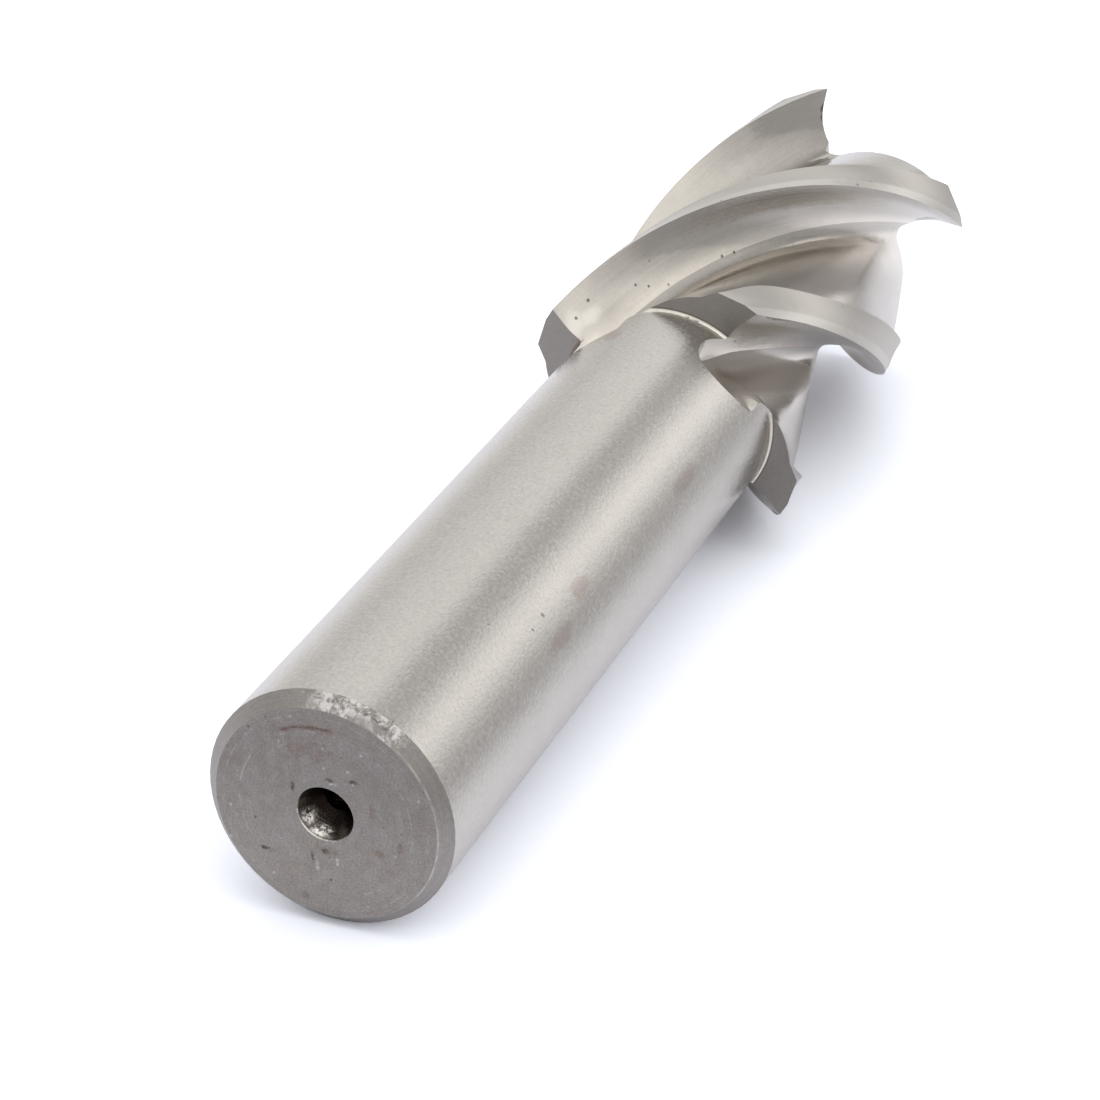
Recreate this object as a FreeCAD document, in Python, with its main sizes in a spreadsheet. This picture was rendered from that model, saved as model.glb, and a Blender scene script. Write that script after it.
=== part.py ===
import FreeCAD, Part
import Sketcher
import math
import os

# Driving dimensions, in millimetres and degrees
SIZES = (
    ("overall_length", 121),
    ("shank_length", 71.8),
    ("shank_diameter", 20),
    ("shank_chamfer", 1.05),
    ("shoulder_fillet", 0.4),
    ("cutter_diameter", 28),
    ("grinding_stock", 0.3),
    ("tooth_count", 4),
    ("lead_length", 128),
    ("rake_angle", 12),
    ("rake_flat", 1.8),
    ("hook_radius", 6.2),
    ("gullet_radius", 1.9),
    ("core_diameter", 14.9),
    ("back_radius", 9),
    ("back_end_radius", 12.3),
    ("back_end_angle", 22.5),
    ("heel_radius", 13.5),
    ("heel_angle", 19),
    ("heel_narrowing", 5),
    ("land_width", 1.25),
    ("land_relief", 6),
    ("overcut", 3.5),
    ("clear_radius", 17),
    ("runout_start", 68.6),
    ("runout_length", 3.1),
    ("runout_rise", 3.8),
    ("runout_bearing", 32),
    ("centre_half_angle", 30),
    ("drill_half_angle", 59),
    ("rear_mouth", 4.65),
    ("rear_pilot", 2),
    ("rear_depth", 5.4),
    ("front_mouth", 5.6),
    ("front_pilot", 2.5),
    ("front_depth", 6.5),
    ("dish_angle", 1.5),
    ("end_relief", 4.5),
    ("end_land_width", 5.2),
    ("end_clearance", 12),
    ("end_reach", 8.5),
    ("gash_depth", 1.6),
    ("gash_offset", 0.5),
    ("gash_rake", 10),
    ("gash_flank", 45),
    ("gash_rise", 12),
    ("gash_outer_radius", 9),
    ("lying_contact", 88.9),
)

# Sections of the flute: angles along the run-out's arc, and steps along the helix
RUNOUT_ANGLES = (82, 70, 56, 42, 28, 14)
HELIX_STEPS = 14
# Share of the heel's narrowing at the helix's first sections, from the shank on
HEEL_SHARES = (1.1, 0.25, -0.45, -0.25)

os.makedirs("parts", exist_ok=True)
doc = FreeCAD.newDocument("EndMill")
sheet = doc.addObject("Spreadsheet::Sheet", "sizes")
for row, (alias, value) in enumerate(SIZES, start=1):
    sheet.set("A%d" % row, alias)
    sheet.set("B%d" % row, str(value))
    sheet.setAlias("B%d" % row, alias)
doc.recompute()


def size(alias):
    return float(sheet.get(alias))


def originFeature(body, role):
    for feature in body.Origin.OriginFeatures:
        if feature.Role == role:
            return feature
    raise ValueError(role)


def newSketch(body, name, role):
    sketch = body.newObject("Sketcher::SketchObject", name)
    sketch.AttachmentSupport = (originFeature(body, role), "")
    sketch.MapMode = "FlatFace"
    return sketch


def bind(sketch, constraint, expression):
    # One dimension of a sketch, driven by an expression of the sheet's cells
    index = sketch.addConstraint(constraint)
    sketch.setExpression("Constraints[%d]" % index, expression)


def placePoint(sketch, edge, end, across, up):
    # One end of an edge, at two coordinates from the sketch's origin
    rough = sketch.getPoint(edge, end)
    bind(sketch, Sketcher.Constraint("DistanceX", edge, end, rough.x), across)
    bind(sketch, Sketcher.Constraint("DistanceY", edge, end, rough.y), up)


def polygon(sketch, corners):
    # Closed outline, drawn as a rough ring that its dimensions pull into place
    count = len(corners)
    turn = 2 * math.pi / count
    ring = [FreeCAD.Vector(50 * math.cos(turn * i), 50 * math.sin(turn * i), 0) for i in range(count)]
    for i in range(count):
        sketch.addGeometry(Part.LineSegment(ring[i], ring[(i + 1) % count]), False)
    for i in range(count):
        sketch.addConstraint(Sketcher.Constraint("Coincident", i, 2, (i + 1) % count, 1))
    for i, (across, up) in enumerate(corners):
        placePoint(sketch, i, 1, across, up)


def blank(body):
    # Turned blank: shank, shoulder, head with grinding stock and both centre holes
    sketch = newSketch(body, "BlankOutline", "XZ_Plane")
    coneRear = "(sizes.rear_mouth - sizes.rear_pilot) / 2 / tan(sizes.centre_half_angle)"
    tipRear = "sizes.rear_depth + sizes.rear_pilot / 2 / tan(sizes.drill_half_angle)"
    stockRadius = "sizes.cutter_diameter / 2 + sizes.grinding_stock"
    faceRise = "sizes.grinding_stock * tan(sizes.dish_angle)"
    faceDrop = "(sizes.cutter_diameter - sizes.front_mouth) / 2 * tan(sizes.dish_angle)"
    coneFront = "(sizes.front_mouth - sizes.front_pilot) / 2 / tan(sizes.centre_half_angle)"
    tipFront = "sizes.front_depth + sizes.front_pilot / 2 / tan(sizes.drill_half_angle)"
    polygon(sketch, (
        (tipRear, "0"),
        ("sizes.rear_depth", "sizes.rear_pilot / 2"),
        (coneRear, "sizes.rear_pilot / 2"),
        ("0", "sizes.rear_mouth / 2"),
        ("0", "sizes.shank_diameter / 2 - sizes.shank_chamfer"),
        ("sizes.shank_chamfer", "sizes.shank_diameter / 2"),
        ("sizes.shank_length", "sizes.shank_diameter / 2"),
        ("sizes.shank_length", stockRadius),
        ("sizes.overall_length + " + faceRise, stockRadius),
        ("sizes.overall_length - " + faceDrop, "sizes.front_mouth / 2"),
        ("sizes.overall_length - %s - %s" % (faceDrop, coneFront), "sizes.front_pilot / 2"),
        ("sizes.overall_length - sizes.front_depth", "sizes.front_pilot / 2"),
        ("sizes.overall_length - " + tipFront, "0"),
    ))
    turned = body.newObject("PartDesign::Revolution", "Blank")
    turned.Profile = sketch
    turned.ReferenceAxis = (sketch, ["H_Axis"])
    turned.Angle = 360
    doc.recompute()
    corner = FreeCAD.Vector(size("shank_length"), 0, size("shank_diameter") / 2)
    edges = turned.Shape.Edges
    nearest = min(range(len(edges)), key=lambda i: edges[i].distToShape(Part.Vertex(corner))[0])
    fillet = body.newObject("PartDesign::Fillet", "ShoulderFillet")
    fillet.Base = (turned, ["Edge%d" % (nearest + 1)])
    fillet.setExpression("Radius", "sizes.shoulder_fillet")


def arc(centre, radius, start, end):
    circle = Part.Circle(FreeCAD.Vector(centre[0], centre[1], 0), FreeCAD.Vector(0, 0, 1), radius)
    return Part.ArcOfCircle(circle, math.radians(start), math.radians(end))


def fluteSection(body, name, station, turn, lift, narrowing):
    # Form of one flute square to the axis, from this tooth's cutting edge to the next one's.
    # The rough arcs and lines are pulled to size by the dimensions below.
    sketch = newSketch(body, name, "YZ_Plane")
    sketch.setExpression("AttachmentOffset.Base.z", station)
    sketch.setExpression("AttachmentOffset.Rotation.Angle", turn)
    bearing = "(%s + sizes.runout_bearing)" % turn
    sketch.setExpression("AttachmentOffset.Base.x", "-(%s) * sin(%s)" % (lift, bearing))
    sketch.setExpression("AttachmentOffset.Base.y", "(%s) * cos(%s)" % (lift, bearing))
    rake, hook, gullet, back, drop, land, edge, side, end, top = range(10)
    corners = ((-11.1, 4.5), (-12.8, 4.0), (-13.9, 1.2), (-14.4, -3.5), (-17, -3.5), (-17, 17), (-0.6, 17))
    points = [FreeCAD.Vector(x, y, 0) for x, y in corners]
    sketch.addGeometry(Part.LineSegment(FreeCAD.Vector(0.4, 12.2, 0), FreeCAD.Vector(-0.6, 17, 0)), False)
    sketch.addGeometry(arc((-5.7, 10.9), 6.2, -24, 12), False)
    sketch.addGeometry(arc((-1.7, 9.2), 1.9, -111, -24), False)
    sketch.addGeometry(arc((-4.7, -1.3), 9, 74, 138), False)
    for first, second in zip(points, points[1:]):
        sketch.addGeometry(Part.LineSegment(first, second), False)
    tip = sketch.addGeometry(Part.Point(FreeCAD.Vector(0, 14, 0)), True)
    for first, second in ((drop, land), (land, edge), (edge, side), (side, end), (end, top)):
        sketch.addConstraint(Sketcher.Constraint("Coincident", first, 2, second, 1))
    sketch.addConstraint(Sketcher.Constraint("Coincident", back, 2, drop, 1))
    sketch.addConstraint(Sketcher.Constraint("Coincident", top, 2, rake, 2))
    sketch.addConstraint(Sketcher.Constraint("Tangent", rake, 1, hook, 2))
    sketch.addConstraint(Sketcher.Constraint("Tangent", hook, 1, gullet, 2))
    sketch.addConstraint(Sketcher.Constraint("Tangent", gullet, 1, back, 1))
    bind(sketch, Sketcher.Constraint("Radius", hook, 6.2), "sizes.hook_radius")
    bind(sketch, Sketcher.Constraint("Radius", gullet, 1.9), "sizes.gullet_radius")
    bind(sketch, Sketcher.Constraint("Radius", back, 9), "sizes.back_radius")
    bind(sketch, Sketcher.Constraint("Distance", -1, 1, gullet, 3, 9.3),
         "sizes.core_diameter / 2 + sizes.gullet_radius")
    bind(sketch, Sketcher.Constraint("Angle", rake, math.radians(102)), "90 + sizes.rake_angle")
    placePoint(sketch, tip, 1, "0", "sizes.cutter_diameter / 2")
    sketch.addConstraint(Sketcher.Constraint("PointOnObject", tip, 1, rake))
    bind(sketch, Sketcher.Constraint("DistanceY", rake, 1, 12.2),
         "sizes.cutter_diameter / 2 - sizes.rake_flat")
    placePoint(sketch, drop, 1, "-sizes.back_end_radius * cos(sizes.back_end_angle)",
               "sizes.back_end_radius * sin(sizes.back_end_angle)")
    heelAngle = "(sizes.heel_angle - %s * sizes.heel_narrowing)" % narrowing
    placePoint(sketch, land, 1, "-sizes.heel_radius * cos(%s)" % heelAngle,
               "sizes.heel_radius * sin(%s)" % heelAngle)
    placePoint(sketch, edge, 1, "-sizes.cutter_diameter / 2 + sizes.land_width * sin(sizes.land_relief)",
               "sizes.land_width * cos(sizes.land_relief)")
    placePoint(sketch, edge, 2, "-sizes.cutter_diameter / 2 - sizes.overcut * sin(sizes.land_relief)",
               "-sizes.overcut * cos(sizes.land_relief)")
    placePoint(sketch, end, 2, "-sizes.clear_radius", "sizes.clear_radius")
    sketch.addConstraint(Sketcher.Constraint("Horizontal", side))
    sketch.addConstraint(Sketcher.Constraint("Vertical", end))
    sketch.addConstraint(Sketcher.Constraint("Horizontal", top))
    return sketch


def flutes(body):
    # One flute, lofted through sections turned along the helix, then repeated round the axis.
    # Behind the teeth the sections rise out of the shank along the arc of the run-out.
    start = "sizes.runout_start"
    turnAt = "(%s - sizes.overall_length) * 360 / sizes.lead_length"
    sections = []
    for angle in RUNOUT_ANGLES:
        station = "(%s - sizes.runout_length * sin(%d))" % (start, angle)
        lift = "sizes.runout_rise * (1 - cos(%d))" % angle
        sections.append(fluteSection(body, "RunoutSection", station, turnAt % start, lift, HEEL_SHARES[0]))
    for step in range(HELIX_STEPS + 1):
        reach = "sizes.overall_length + sizes.overcut - %s" % start
        station = "(%s + (%s) * %d / %d)" % (start, reach, step, HELIX_STEPS)
        narrowing = HEEL_SHARES[step] if step < len(HEEL_SHARES) else 0
        sections.append(fluteSection(body, "FluteSection", station, turnAt % station, "0", narrowing))
    flute = body.newObject("PartDesign::SubtractiveLoft", "Flute")
    flute.Profile = sections[0]
    flute.Sections = sections[1:]
    pattern = body.newObject("PartDesign::PolarPattern", "FlutePattern")
    pattern.Originals = [flute]
    pattern.Axis = (originFeature(body, "X_Axis"), [""])
    pattern.setExpression("Occurrences", "sizes.tooth_count")
    body.Tip = pattern


def endTeeth(body):
    # End relief behind each end cutting edge and the gash in front of it
    relief = newSketch(body, "EndReliefSection", "XY_Plane")
    edgeX = "sizes.overall_length - sizes.cutter_diameter / 2 * tan(sizes.dish_angle)"
    landX = edgeX + " - sizes.end_land_width * tan(sizes.end_relief)"
    backX = landX + " - (sizes.end_reach - sizes.end_land_width) * tan(sizes.end_clearance)"
    aheadX = "sizes.overall_length + sizes.overcut"
    polygon(relief, (
        (edgeX, "0"),
        (landX, "sizes.end_land_width"),
        (backX, "sizes.end_reach"),
        (aheadX, "sizes.end_reach"),
        (aheadX, "0"),
    ))
    clearance = body.newObject("PartDesign::Pocket", "EndRelief")
    clearance.Profile = relief
    clearance.UseCustomVector = True
    clearance.Direction = FreeCAD.Vector(math.tan(math.radians(size("dish_angle"))), 0, 1)
    clearance.setExpression("Length", "sizes.cutter_diameter / 2 + sizes.overcut")

    gashSection = newSketch(body, "GashSection", "XY_Plane")
    bottomX = "sizes.overall_length - sizes.gash_depth"
    bottomY = "sizes.gash_offset + sizes.gash_depth * tan(sizes.gash_rake)"
    height = "(%s - (%s))" % (aheadX, bottomX)
    polygon(gashSection, (
        (bottomX, bottomY),
        (aheadX, "%s - %s * tan(sizes.gash_rake)" % (bottomY, height)),
        (aheadX, "%s - %s * tan(sizes.gash_flank)" % (bottomY, height)),
    ))
    gash = body.newObject("PartDesign::Pocket", "Gash")
    gash.Profile = gashSection
    gash.UseCustomVector = True
    rise = math.tan(math.radians(size("gash_rise")))
    gash.Direction = FreeCAD.Vector(rise, -rise * math.tan(math.radians(size("gash_rake"))), 1)
    gash.setExpression("Length", "sizes.gash_outer_radius")

    pattern = body.newObject("PartDesign::PolarPattern", "EndPattern")
    pattern.Originals = [clearance, gash]
    pattern.Axis = (originFeature(body, "X_Axis"), [""])
    pattern.setExpression("Occurrences", "sizes.tooth_count")
    body.Tip = pattern
    return pattern


def lyingPlacement():
    # The tool lies on the edge of its shank's chamfer and on one tooth, whose cutting edge
    # meets the floor at lying_contact. X runs from the shank to the teeth, with Z up.
    length = size("overall_length")
    shank = size("shank_diameter") / 2
    cutter = size("cutter_diameter") / 2
    chamfer = size("shank_chamfer")
    contact = size("lying_contact")
    turnRate = 2 * math.pi / size("lead_length")
    tilt = 0
    for _ in range(6):
        lean = math.asin(math.tan(tilt) / (cutter * turnRate))
        tilt = math.atan((cutter * math.cos(lean) - shank) / (contact - chamfer))
    roll = turnRate * (length - contact) - lean - math.pi / 2
    nose = cutter * math.cos(roll) - (shank - chamfer)
    base = FreeCAD.Vector(-(length * math.cos(tilt) + nose * math.sin(tilt)) / 2, 0,
                          shank * math.cos(tilt) - chamfer * math.sin(tilt))
    tilted = FreeCAD.Rotation(FreeCAD.Vector(0, 1, 0), -math.degrees(tilt))
    rolled = FreeCAD.Rotation(FreeCAD.Vector(1, 0, 0), math.degrees(roll))
    return FreeCAD.Placement(base, tilted.multiply(rolled))


def endMill():
    body = doc.addObject("PartDesign::Body", "end_mill")
    body.Label = "end_mill"
    blank(body)
    flutes(body)
    endTeeth(body)
    body.Placement = lyingPlacement()
    doc.recompute()
    return body


mill = endMill()
for item in doc.Objects:
    if "Invalid" in item.State or "Error" in item.State:
        raise RuntimeError("%s: %s" % (item.Name, item.State))
if mill.Shape.isNull() or not mill.Shape.isValid() or len(mill.Shape.Solids) != 1:
    raise RuntimeError("end_mill is not one valid solid")
place = mill.Placement
print("end_mill: volume %.0f mm3" % mill.Shape.Volume)
print("axis point %.3f %.3f %.3f mm, tilt and roll %s" % (
    place.Base.x, place.Base.y, place.Base.z, [round(v, 4) for v in place.Rotation.getYawPitchRoll()]))
mill.Shape.exportStep("parts/end_mill.step")
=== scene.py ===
import math
import bmesh
import bpy
from mathutils import Matrix, Vector


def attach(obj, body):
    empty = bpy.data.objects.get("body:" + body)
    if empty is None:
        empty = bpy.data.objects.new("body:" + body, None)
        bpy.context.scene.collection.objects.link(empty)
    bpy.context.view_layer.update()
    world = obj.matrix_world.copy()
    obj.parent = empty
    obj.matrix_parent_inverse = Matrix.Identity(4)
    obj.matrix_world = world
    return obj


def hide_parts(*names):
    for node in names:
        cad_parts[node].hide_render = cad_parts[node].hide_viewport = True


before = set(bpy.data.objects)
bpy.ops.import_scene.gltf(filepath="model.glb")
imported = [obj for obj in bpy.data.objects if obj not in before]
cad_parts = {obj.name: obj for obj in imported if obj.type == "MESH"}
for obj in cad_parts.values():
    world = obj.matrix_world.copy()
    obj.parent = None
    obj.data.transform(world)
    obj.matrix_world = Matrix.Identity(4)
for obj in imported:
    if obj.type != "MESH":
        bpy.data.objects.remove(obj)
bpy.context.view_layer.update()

# how the tool lies: its axis starts at the middle of the shank's end face and rises to the teeth
pose = {
    "axisStart": (-0.060552, 0.0, 0.009942),
    "riseDeg": 2.5873,
    "helixLead": 128.0,       # mm for one turn of a flute
    "edgeClock": 38.2,        # degrees from straight up, where one cutting edge starts
    "edgeStation": 71.84,     # mm along the axis, where it starts
}


# small helpers for node trees

def addNode(tree, kind, **settings):
    node = tree.nodes.new(kind)
    for key, value in settings.items():
        setattr(node, key, value)
    return node


def feed(tree, socket, value):
    if isinstance(value, bpy.types.NodeSocket):
        tree.links.new(value, socket)
    elif value is not None:
        socket.default_value = value


def calc(tree, operation, a, b=None, c=None, clamp=False):
    node = addNode(tree, "ShaderNodeMath", operation=operation, use_clamp=clamp)
    for socket, value in zip(node.inputs, (a, b, c)):
        feed(tree, socket, value)
    return node.outputs[0]


def times(tree, first, *others):
    for other in others:
        first = calc(tree, "MULTIPLY", first, other)
    return first


def plus(tree, base, value, amount, clamp=False):
    # base with an amount of value added
    return calc(tree, "ADD", base, calc(tree, "MULTIPLY", value, amount), clamp=clamp)


def blendColour(tree, mask, first, second, mode="MIX"):
    node = addNode(tree, "ShaderNodeMix", data_type="RGBA", blend_type=mode)
    for index, value in ((0, mask), (6, first), (7, second)):
        feed(tree, node.inputs[index], value)
    return node.outputs[2]


def stain(tree, colour, mask, strength, other):
    return blendColour(tree, calc(tree, "MULTIPLY", mask, strength), colour, other)


def spread(tree, value, low, high, outLow=0.0, outHigh=1.0, smooth=True):
    # maps low..high to outLow..outHigh, clamped
    node = addNode(tree, "ShaderNodeMapRange", interpolation_type="SMOOTHSTEP" if smooth else "LINEAR")
    for name, item in (("From Min", low), ("From Max", high), ("To Min", outLow), ("To Max", outHigh)):
        feed(tree, node.inputs[name], item)
    feed(tree, node.inputs["Value"], value)
    return node.outputs["Result"]


def nearTo(tree, value, at, width, inner=0.0):
    # 1 at a value, falling to 0 at a width from it
    away = calc(tree, "ABSOLUTE", calc(tree, "SUBTRACT", value, at))
    return spread(tree, away, inner, width, 1.0, 0.0)


def join(tree, x, y, z):
    node = addNode(tree, "ShaderNodeCombineXYZ")
    for socket, value in zip(node.inputs, (x, y, z)):
        feed(tree, socket, value)
    return node.outputs[0]


def split(tree, vector):
    node = addNode(tree, "ShaderNodeSeparateXYZ")
    feed(tree, node.inputs[0], vector)
    return node.outputs


def noise(tree, vector, scale, detail=2.0, roughness=0.5):
    node = addNode(tree, "ShaderNodeTexNoise")
    feed(tree, node.inputs["Vector"], vector)
    feed(tree, node.inputs["Scale"], scale)
    feed(tree, node.inputs["Detail"], detail)
    feed(tree, node.inputs["Roughness"], roughness)
    return node.outputs["Fac"]


def clouds(tree, vector, scale, detail, roughness):
    # soft unevenness about 0
    return calc(tree, "SUBTRACT", noise(tree, vector, scale, detail, roughness), 0.5)


def newGroup(name, inputs, outputs):
    tree = bpy.data.node_groups.new(name, "ShaderNodeTree")
    for label, kind, value in inputs:
        socket = tree.interface.new_socket(label, in_out="INPUT", socket_type=kind)
        if value is not None:
            socket.default_value = value
    for label, kind in outputs:
        tree.interface.new_socket(label, in_out="OUTPUT", socket_type=kind)
    return tree, tree.nodes.new("NodeGroupInput"), tree.nodes.new("NodeGroupOutput")


def place(tree, group, **values):
    node = addNode(tree, "ShaderNodeGroup", node_tree=group)
    for key, value in values.items():
        feed(tree, node.inputs[key], value)
    return node


# the tool's own coordinates, which every pattern on it follows

def makeToolFrame():
    tree, _, sink = newGroup("toolFrame", [], [
        ("Position", "NodeSocketVector"), ("Along", "NodeSocketFloat"), ("Radius", "NodeSocketFloat"),
        ("Clock", "NodeSocketFloat"), ("Phase", "NodeSocketFloat"), ("Turned", "NodeSocketFloat")])
    where = addNode(tree, "ShaderNodeTexCoord")
    turned = addNode(tree, "ShaderNodeMapping", vector_type="TEXTURE")
    turned.inputs["Location"].default_value = pose["axisStart"]
    turned.inputs["Rotation"].default_value = (0, -math.radians(pose["riseDeg"]), 0)
    turned.inputs["Scale"].default_value = (0.001, 0.001, 0.001)
    tree.links.new(where.outputs["Object"], turned.inputs["Vector"])
    x, y, z = split(tree, turned.outputs[0])
    radius = calc(tree, "SQRT", calc(tree, "ADD", calc(tree, "MULTIPLY", y, y), calc(tree, "MULTIPLY", z, z)))
    left = calc(tree, "MULTIPLY", y, -1.0)
    clock = calc(tree, "MULTIPLY", calc(tree, "ARCTAN2", left, z), 180 / math.pi)
    turn = calc(tree, "MULTIPLY", calc(tree, "SUBTRACT", x, pose["edgeStation"]), 360 / pose["helixLead"])
    follow = calc(tree, "SUBTRACT", clock, turn)
    phase = calc(tree, "FLOORED_MODULO", calc(tree, "SUBTRACT", follow, pose["edgeClock"]), 90.0)
    for label, value in zip(("Position", "Along", "Radius", "Clock", "Phase", "Turned"),
                            (turned.outputs[0], x, radius, clock, phase, follow)):
        tree.links.new(value, sink.inputs[label])
    return tree


toolFrame = makeToolFrame()


def rings(tree, frameNode, fineness, softness):
    # fine grinding lines round the axis: quick along it, slow across it
    x, y, z = split(tree, frameNode.outputs["Position"])
    across = [calc(tree, "MULTIPLY", part, softness) for part in (y, z)]
    return join(tree, calc(tree, "MULTIPLY", x, fineness), *across)


def makeGrainGroup():
    # speckle and drawn lines of a ground surface, as a value about 0 and a height
    tree, source, sink = newGroup("groundGrain", [
        ("Lines", "NodeSocketVector", None), ("Position", "NodeSocketVector", None),
        ("Line Strength", "NodeSocketFloat", 0.5), ("Speck Scale", "NodeSocketFloat", 4.0),
        ("Speck Strength", "NodeSocketFloat", 0.5)],
        [("Value", "NodeSocketFloat"), ("Height", "NodeSocketFloat")])
    lines = clouds(tree, source.outputs["Lines"], 1.0, 4.0, 0.65)
    specks = clouds(tree, source.outputs["Position"], source.outputs["Speck Scale"], 3.0, 0.7)
    total = calc(tree, "ADD", calc(tree, "MULTIPLY", lines, source.outputs["Line Strength"]),
                 calc(tree, "MULTIPLY", specks, source.outputs["Speck Strength"]))
    tree.links.new(total, sink.inputs["Value"])
    tree.links.new(total, sink.inputs["Height"])
    return tree


def makePitGroup():
    # scattered small pits: a few cells of a cell pattern hold one
    tree, source, sink = newGroup("scatteredPits", [
        ("Position", "NodeSocketVector", None), ("Spacing", "NodeSocketFloat", 2.0),
        ("Size", "NodeSocketFloat", 0.08), ("Share", "NodeSocketFloat", 0.3)],
        [("Mask", "NodeSocketFloat")])
    cells = addNode(tree, "ShaderNodeTexVoronoi")
    feed(tree, cells.inputs["Vector"], source.outputs["Position"])
    feed(tree, cells.inputs["Scale"], calc(tree, "DIVIDE", 1.0, source.outputs["Spacing"]))
    pick = addNode(tree, "ShaderNodeSeparateColor")
    feed(tree, pick.inputs[0], cells.outputs["Color"])
    kept = calc(tree, "LESS_THAN", pick.outputs[0], source.outputs["Share"])
    wide = calc(tree, "MULTIPLY", source.outputs["Size"], calc(tree, "ADD", pick.outputs[1], 0.4))
    edge = calc(tree, "SUBTRACT", 1.0, calc(tree, "DIVIDE", cells.outputs["Distance"], wide), clamp=True)
    feed(tree, sink.inputs["Mask"], calc(tree, "MULTIPLY", kept, calc(tree, "MULTIPLY", edge, 2.0, clamp=True)))
    return tree


def makeMarkGroup():
    # one stain or scratch: an oval in the tool's coordinates with a ragged outline
    tree, source, sink = newGroup("mark", [
        ("Position", "NodeSocketVector", None), ("Centre", "NodeSocketVector", None),
        ("Size", "NodeSocketVector", None), ("Ragged", "NodeSocketFloat", 0.5),
        ("Grain", "NodeSocketFloat", 3.0)], [("Mask", "NodeSocketFloat")])
    apart = addNode(tree, "ShaderNodeVectorMath", operation="SUBTRACT")
    feed(tree, apart.inputs[0], source.outputs["Position"])
    feed(tree, apart.inputs[1], source.outputs["Centre"])
    shrunk = addNode(tree, "ShaderNodeVectorMath", operation="DIVIDE")
    feed(tree, shrunk.inputs[0], apart.outputs[0])
    feed(tree, shrunk.inputs[1], source.outputs["Size"])
    length = addNode(tree, "ShaderNodeVectorMath", operation="LENGTH")
    feed(tree, length.inputs[0], shrunk.outputs[0])
    rough = clouds(tree, source.outputs["Position"], source.outputs["Grain"], 3.0, 0.6)
    bent = plus(tree, length.outputs["Value"], rough, source.outputs["Ragged"])
    feed(tree, sink.inputs["Mask"], spread(tree, bent, 0.4, 1.0, 1.0, 0.0))
    return tree


grainGroup = makeGrainGroup()
pitGroup = makePitGroup()
markGroup = makeMarkGroup()


def marks(tree, position, places, ragged, grain):
    # the strongest of several marks at each point
    total = None
    for centre, size in places:
        mask = place(tree, markGroup, Position=position, Centre=centre, Size=size,
                     Ragged=ragged, Grain=grain).outputs[0]
        total = mask if total is None else calc(tree, "MAXIMUM", total, mask)
    return total


def pits(tree, position, look):
    return place(tree, pitGroup, Position=position, **look).outputs[0]


def tone(tree, colour, value, amount):
    # lightens and darkens a colour by a value about 0
    node = addNode(tree, "ShaderNodeVectorMath", operation="SCALE")
    feed(tree, node.inputs[0], colour[:3] if isinstance(colour, tuple) else colour)
    feed(tree, node.inputs["Scale"], plus(tree, 1.0, value, amount))
    return node.outputs[0]


def makeSteel(name):
    material = bpy.data.materials.new(name)
    material.use_nodes = True
    tree = material.node_tree
    shader = tree.nodes["Principled BSDF"]
    shader.inputs["Metallic"].default_value = 1.0
    return material, tree, shader, place(tree, toolFrame)


def finishSteel(tree, shader, colour, roughness, height, depth):
    feed(tree, shader.inputs["Base Color"], colour)
    feed(tree, shader.inputs["Roughness"], roughness)
    bump = addNode(tree, "ShaderNodeBump")
    bump.inputs["Strength"].default_value = 1.0
    bump.inputs["Distance"].default_value = depth
    feed(tree, bump.inputs["Height"], height)
    feed(tree, shader.inputs["Normal"], bump.outputs[0])


# shank: fine cylindrical grinding, a few pits and faint brown stains
# marks are placed by (along the axis, left, up) in mm, with half sizes the same way

shank = {
    "colour": (0.61, 0.588, 0.56, 1), "roughness": 0.21, "bumpDepth": 0.000012,
    "lineFineness": 9.0, "lineSoftness": 0.6,
    "grain": {"Line Strength": 0.7, "Speck Scale": 3.2, "Speck Strength": 2.2},
    "grainTone": 0.3, "grainRoughness": 0.18, "cloudTone": 0.10,
    "stainColour": (0.50, 0.43, 0.405, 1), "stainStrength": 0.7,
    "stains": [((29.5, -8.4, 5.3), (2.2, 0.7, 1.2)), ((24.0, -9.2, 4.0), (3.0, 0.8, 1.0)),
               ((52.0, -9.0, 4.2), (3.5, 0.8, 1.0)), ((66.5, 3.2, 9.5), (1.6, 1.4, 0.8))],
    "flecks": [((23.1, -7.9, 6.1), (0.22, 0.22, 0.3)), ((20.9, -8.0, 6.0), (0.15, 0.2, 0.2)),
               ((17.2, -5.9, 8.1), (0.16, 0.16, 0.2)), ((32.4, -4.9, 8.7), (0.12, 0.12, 0.2))],
    "fleckColour": (0.30, 0.28, 0.26, 1), "fleckStrength": 0.75, "fleckDepth": 2.0,
    "pits": {"Spacing": 2.6, "Size": 0.05, "Share": 0.28},
}


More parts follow.
